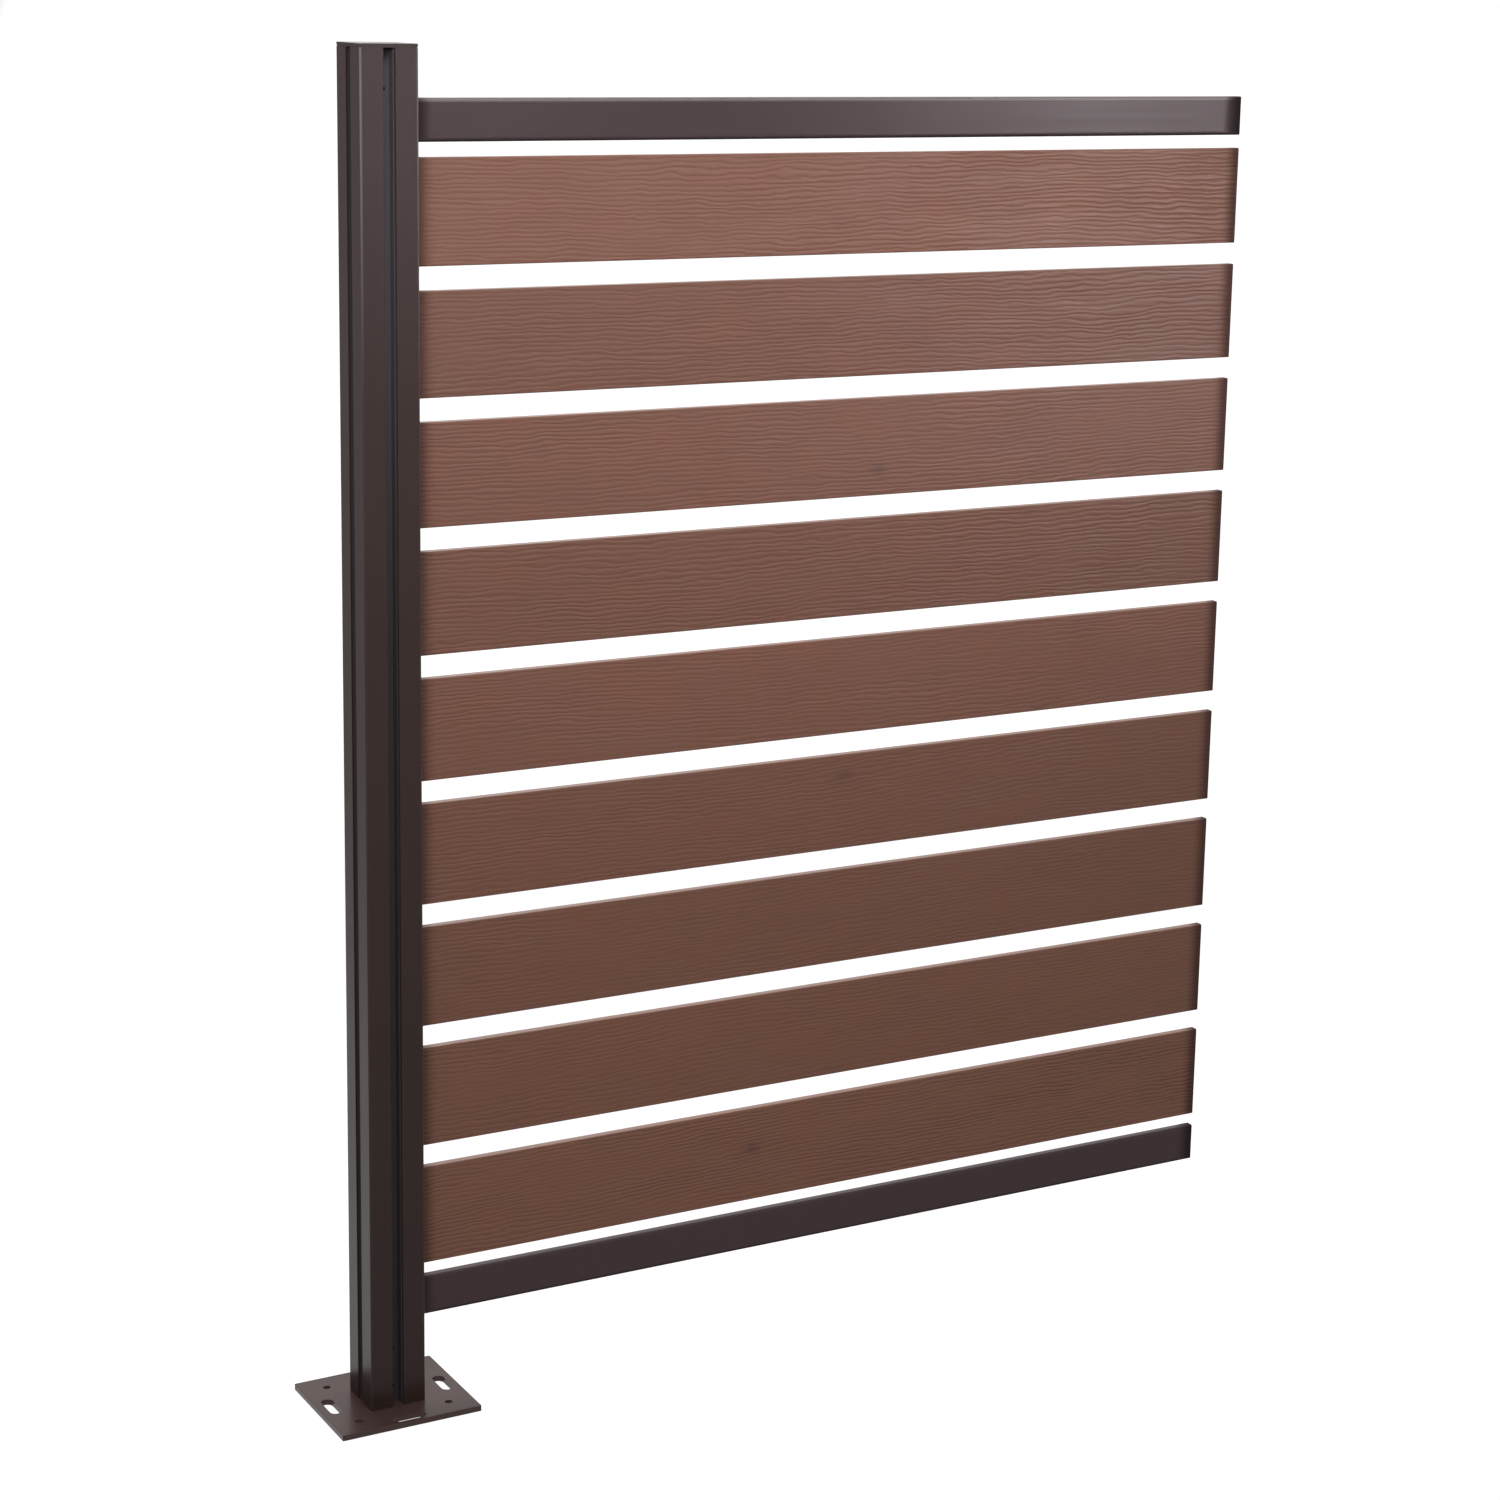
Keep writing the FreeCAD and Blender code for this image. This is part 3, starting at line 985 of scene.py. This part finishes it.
@dataclass
class PostAssembly:
    """The grooved post, its cap, its foot and the screws between them."""

    post: Finish = PostCoat("bronze_post_coat", "bronze_aluminium")
    cap: Finish = PowderCoat("bronze_cap_coat", "bronze_aluminium", drawn=Axis.X)
    foot: Finish = PowderCoat(
        "bronze_foot_coat",
        "bronze_steel",
        tint=(0.066, 0.038, 0.035),
        roughness=0.24,
        specular=0.19,
        grain_depth=0.006 * MM,
        dust_share=0.03,
        drawn=Axis.X,
    )
    screws: Finish = BareMetal("stainless_base_screws", "stainless_steel", roughness=0.28)

    def build(self, nodes: Mapping[str, bpy.types.Object]) -> None:
        """Dress the post's nodes.

        Args:
            nodes: The CAD nodes by name.
        """
        dress(nodes["post"], self.post.material())
        dress(nodes["post_cap"], self.cap.material())
        dress(nodes["base_plate"], self.foot.material())
        dress(nodes["base_screws"], self.screws.material())


@dataclass
class RailPair:
    """The dark rails above and below the boards; the lower one has a lighter tint as painted light."""

    upper: RailCoat = RailCoat(
        "bronze_coat",
        "bronze_aluminium",
        tint=(0.036, 0.0210, 0.0212),
        roughness=0.30,
        specular=0.13,
        dust_share=0.30,
        dust_from=0.12,
        drawn=Axis.X,
    )
    # the lower rail is the same coat with a lighter tint, which is painted light
    lower: RailCoat = replace(upper, tint=(0.058, 0.0350, 0.0370), painted_highlight_share=0.06, dust_share=0.05)

    def build(self, nodes: Mapping[str, bpy.types.Object]) -> None:
        """Dress both rails.

        Args:
            nodes: The CAD nodes by name.
        """
        for name, coat in (("top_rail", self.upper), ("bottom_rail", self.lower)):
            dress(nodes[name], coat.fitted(name).material())


@dataclass
class GrooveHardware:
    """The spacers and stops inside the panel's groove, with their screws."""

    spacer_count: int = 8
    nylon: Finish = MouldedNylon("black_spacer_nylon", "black_plastic")
    bar: Finish = BareMetal("mill_stop_bar", "mill_aluminium", tint=(0.60, 0.61, 0.62))
    screws: Finish = BareMetal("stainless_stop_screws", "stainless_steel", drawn=Axis.Y, roughness=0.26)

    def build(self, nodes: Mapping[str, bpy.types.Object]) -> None:
        """Dress what sits in the groove.

        Args:
            nodes: The CAD nodes by name.
        """
        nylon = self.nylon.material()
        spacers = [f"groove_spacer_{number}" for number in range(1, self.spacer_count + 1)]
        for name in (*spacers, "rail_spacer_top", "rail_spacer_bottom"):
            dress(nodes[name], nylon)
        bar = self.bar.material()
        for name in ("bottom_stop", "top_stop"):
            dress(nodes[name], bar)
        screws = self.screws.material()
        for name in ("bottom_stop_screws", "top_stop_screw"):
            dress(nodes[name], screws)


@dataclass
class SlatPanel:
    """The nine boards between the rails, grown over the CAD slats."""

    edge_radius: float = 1.5 * MM
    column_pitch: float = 4.5 * MM
    ring_pitch: float = 0.7 * MM
    line_pitch: float = 5.0 * MM
    relief: float = 0.26 * MM
    finish: WoodComposite = WoodComposite("brown_board", "wood_composite")
    boards: tuple[Board, ...] = (
        Board(
            "slat_1", 1.7, 0.99, (0.44, 1.60),
            (Knot(0.780, 1.272, 0.85, 0.05), Knot(0.448, 1.268, 0.60, 0.0)),
        ),
        Board(
            "slat_2", 12.4, 0.855, (0.66, 0.94),
            (Knot(0.300, 1.090, 0.50, 0.0), Knot(0.900, 1.120, 0.45, 0.0)),
        ),
        Board(
            "slat_3", 23.9, 0.935, (0.80, 0.56),
            (Knot(0.488, 0.948, 0.85, 0.05), Knot(0.571, 0.9535, 0.35, 0.66)),
        ),
        Board(
            "slat_4", 34.2, 0.885, (1.02, 0.96),
            (Knot(0.514, 0.885, 0.90, 0.05), Knot(0.840, 0.830, 0.45, 0.0)),
        ),
        Board(
            "slat_5", 45.8, 0.98, (0.87, 0.64),
            (Knot(0.260, 0.720, 0.55, 0.0), Knot(0.700, 0.740, 0.55, 0.05)),
        ),
        Board(
            "slat_6", 56.3, 0.925, (1.00, 0.66),
            (Knot(0.535, 0.6165, 0.45, 0.62), Knot(0.880, 0.570, 0.50, 0.0)),
        ),
        Board(
            "slat_7", 67.1, 0.935, (0.95, 0.82),
            (Knot(0.340, 0.440, 0.60, 0.0), Knot(0.760, 0.480, 0.50, 0.0)),
        ),
        Board(
            "slat_8", 78.6, 1.02, (1.10, 1.15),
            (Knot(0.220, 0.330, 0.50, 0.0), Knot(0.640, 0.350, 0.60, 0.05)),
        ),
        Board(
            "slat_9", 89.5, 1.12, (1.45, 2.60),
            (Knot(0.430, 0.2066, 0.45, 0.62), Knot(0.820, 0.190, 0.50, 0.0)),
        ),
    )

    def build(self) -> None:
        """Grow every board in its slat's place, top to bottom."""
        tree = BoardTree()
        material = self.finish.material()
        for board in self.boards:
            self._board(tree, board, material)

    def _board(self, tree: BoardTree, board: Board, material: bpy.types.Material) -> None:
        """Grow one board and let it stand for its slat.

        Args:
            tree: The tree that grows it.
            board: Which one.
            material: Its finish.
        """
        low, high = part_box(board.node)
        height = high.z - low.z
        thickness = high.y - low.y
        values = {
            "Start": low.x,
            "End": high.x,
            "Bottom": low.z,
            "Height": height,
            "Thickness": thickness,
            "Edge Radius": self.edge_radius,
            "Columns": round((high.x - low.x) / self.column_pitch),
            "Ring Points": 2 * round((height + thickness) / self.ring_pitch),
            "Line Pitch": self.line_pitch,
            "Relief": self.relief,
            "Left Depth": board.depth[0],
            "Right Depth": board.depth[1],
            "Seed": board.seed,
            "Shade": board.shade,
            "Finish": material,
        }
        for name, knot in zip(tree.KNOT_NAMES, board.knots):
            values[f"{name} Knot"] = (knot.x, 0.0, knot.z)
            values[f"{name} Pull"] = knot.pull
            values[f"{name} Dark"] = knot.dark
        piece = tree.grow(f"{board.node}_board", values)
        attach(piece, BODY)
        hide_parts(board.node)
        LOG.info("%s: %d faces, %s", piece.name, len(piece.data.polygons), material.name)


@dataclass(frozen=True)
class Softbox:
    """A flat lamp: where it hangs, where it points and its sides, in metres.

    power is in watts and spread in degrees; tint is its light's colour.
    """

    name: str
    place: Point
    target: Point
    sides: Span
    power: float
    spread: float
    tint: Colour = WHITE

    def build(self) -> None:
        """Hang the lamp."""
        lamp = bpy.data.lights.new(self.name, "AREA")
        lamp.shape = "RECTANGLE"
        lamp.size, lamp.size_y = self.sides
        lamp.energy = self.power
        lamp.spread = math.radians(self.spread)
        lamp.color = self.tint
        made = bpy.data.objects.new(self.name, lamp)
        made.visible_camera = False
        aim = Vector(self.target) - Vector(self.place)
        turn = aim.to_track_quat("-Z", "Y").to_matrix()
        made.matrix_world = Matrix.Translation(self.place) @ turn.to_4x4()
        bpy.context.scene.collection.objects.link(made)


@dataclass
class Viewpoint:
    """The camera: its place in metres and its turns in radians.

    Its focal length and its picture's centre are in pixels of a square frame.
    """

    place: Point = (-1.18498, -2.89680, 1.47577)
    yaw: float = 0.52509
    pitch: float = 0.21027
    roll: float = -0.02099
    focal_px: float = 3182.5
    centre_px: Span = (810.0, 650.0)
    frame_px: float = 1500.0
    sensor_mm: float = 36.0
    sight: float = 1000.0

    def build(self) -> None:
        """Set the scene's camera up."""
        lens = bpy.data.cameras.new("front_view")
        lens.sensor_fit = "HORIZONTAL"
        lens.sensor_width = self.sensor_mm
        lens.lens = self.focal_px / self.frame_px * self.sensor_mm
        lens.shift_x = 0.5 - self.centre_px[0] / self.frame_px
        lens.shift_y = self.centre_px[1] / self.frame_px - 0.5
        lens.clip_end = self.sight
        level = math.cos(self.pitch)
        ahead = Vector((math.sin(self.yaw) * level, math.cos(self.yaw) * level, -math.sin(self.pitch)))
        right = Vector((math.cos(self.yaw), -math.sin(self.yaw), 0.0))
        down = ahead.cross(right)
        rolled_right = math.cos(self.roll) * right + math.sin(self.roll) * down
        rolled_up = math.sin(self.roll) * right - math.cos(self.roll) * down
        turn = Matrix((rolled_right, rolled_up, -ahead)).transposed()
        made = bpy.data.objects.new("front_view", lens)
        made.matrix_world = Matrix.Translation(self.place) @ turn.to_4x4()
        bpy.context.scene.collection.objects.link(made)
        bpy.context.scene.camera = made


@dataclass
class Studio:
    """The pale floor, the room's light and the lamps.

    left_edge gives the metres past the line where the floor's grey left side begins, as shares of x and y
    and a constant. Each fade is where the backdrop changes from one strength to another.
    """

    floor_half: float = 120.0
    floor_drop: float = 0.2 * MM
    floor_bounce: Colour = (0.25, 0.215, 0.205)
    floor_catch: Colour = (0.24, 0.24, 0.24)
    floor_glow: float = 0.88
    floor_fade: Span = (1.2, 4.0)
    room: float = 0.355
    left_wall: float = 0.42
    left_edge: Point = (-1.0, 0.29, -0.37)
    left_fade: Span = (0.10, 1.35)
    wall_fade: Span = (-0.30, 0.20)
    lamps: tuple[Softbox, ...] = (
        Softbox("front_overhead", (0.10, -1.9, 2.9), (0.25, 0.0, 1.35), (1.8, 1.2), 8.9, 72.0),
        Softbox("beside_camera", (-1.7, -2.6, 2.1), (0.25, 0.0, 1.15), (0.7, 0.9), 5.4, 62.0),
        Softbox("back_overhead", (0.60, 1.9, 2.9), (0.45, 0.0, 1.10), (1.8, 1.2), 14.0, 80.0),
        Softbox(
            "post_light", (1.35, -3.2, 1.5), (0.0, 0.0, 1.35), (0.6, 0.9), 1.0, 36.0,
            tint=(0.95, 0.92, 1.0),
        ),
        Softbox(
            "panel_light", (2.95, -3.0, 1.4), (0.98, 0.0, 1.27), (0.6, 0.7), 1.30, 24.0,
            tint=(0.98, 0.91, 0.96),
        ),
        Softbox(
            "left_light", (-2.4, 0.5, 1.6), (0.0, 0.0, 1.2), (0.5, 1.0), 3.0, 50.0,
            tint=(1.0, 0.86, 0.84),
        ),
        Softbox("right_light", (3.4, 0.8, 1.8), (0.3, 0.0, 0.8), (0.8, 1.2), 6.0, 60.0),
    )

    def build(self) -> None:
        """Lay the floor, light the room and hang the lamps."""
        self._floor()
        self._room()
        for lamp in self.lamps:
            lamp.build()
        bpy.context.scene.view_settings.view_transform = "Standard"

    def _floor(self) -> None:
        """Lay a wide pale floor that shows white and still takes the object's shadow."""
        half = self.floor_half
        corners = [(-half, -half), (half, -half), (half, half), (-half, half)]
        mesh = bpy.data.meshes.new("pale_floor")
        mesh.from_pydata([(x, y, -self.floor_drop) for x, y in corners], [], [(0, 1, 2, 3)])
        floor = bpy.data.objects.new("pale_floor", mesh)
        bpy.context.scene.collection.objects.link(floor)
        material = bpy.data.materials.new("pale_floor")
        material.use_nodes = True
        graph = Graph(material.node_tree)
        place = graph.node("ShaderNodeTexCoord", output="Object")
        far = graph.node("ShaderNodeVectorMath", {"operation": "LENGTH"}, {0: place}, output="Value")
        x, y, _ = graph.split(place)
        left = self.left_edge[0] * x + self.left_edge[1] * y + self.left_edge[2]
        glow = graph.fade(far, *self.floor_fade, self.floor_glow, 1.0)
        glow = glow * graph.fade(left, *self.left_fade, 1.0, self.left_wall)
        catch = graph.node("ShaderNodeBsdfDiffuse", None, {"Color": opaque(self.floor_catch)})
        shine = graph.node("ShaderNodeEmission", None, {"Strength": glow})
        shown = graph.node("ShaderNodeAddShader", None, {0: catch, 1: shine})
        bounce = graph.node("ShaderNodeBsdfDiffuse", None, {"Color": opaque(self.floor_bounce)})
        surface = graph.node("ShaderNodeMixShader", None, {0: self._seen(graph), 1: bounce, 2: shown})
        graph.node("ShaderNodeOutputMaterial", None, {"Surface": surface})
        mesh.materials.append(material)

    @staticmethod
    def _seen(graph: Graph) -> Wire:
        """Tell the rays that see the backdrop from those that only gather its light.

        Args:
            graph: The graph to add to.

        Returns:
            1 for rays from the camera, from a reflection or through glass, 0 for the rest.
        """
        rays = graph.node("ShaderNodeLightPath").socket.node.outputs
        seen = Wire(graph, rays["Is Camera Ray"])
        for name in ("Is Glossy Ray", "Is Transmission Ray"):
            seen = seen.math("MAXIMUM", Wire(graph, rays[name]))
        return seen

    def _room(self) -> None:
        """Light the room evenly and show its walls white, with a grey one on the left."""
        world = bpy.data.worlds.new("studio_room")
        world.use_nodes = True
        graph = Graph(world.node_tree)
        ray = graph.node("ShaderNodeTexCoord", output="Generated")
        shown = graph.fade(graph.split(ray)[0], *self.wall_fade, self.left_wall, 1.0)
        wall = self.room + (shown - self.room) * self._seen(graph)
        shine = graph.node("ShaderNodeBackground", None, {"Color": opaque(WHITE), "Strength": wall})
        graph.node("ShaderNodeOutputWorld", None, {"Surface": shine})
        bpy.context.scene.world = world


def clear_scene() -> None:
    """Take away what a new file starts with."""
    for found in list(bpy.data.objects):
        bpy.data.objects.remove(found)


def main() -> None:
    """Load the frame, build and dress each sub-assembly, then light and frame it."""
    logging.basicConfig(level=logging.INFO, format="%(name)s %(message)s")
    clear_scene()
    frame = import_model()
    Viewpoint().build()
    PostAssembly().build(frame["nodes"])
    RailPair().build(frame["nodes"])
    GrooveHardware().build(frame["nodes"])
    SlatPanel().build()
    Studio().build()


if __name__ == "__main__":
    main()
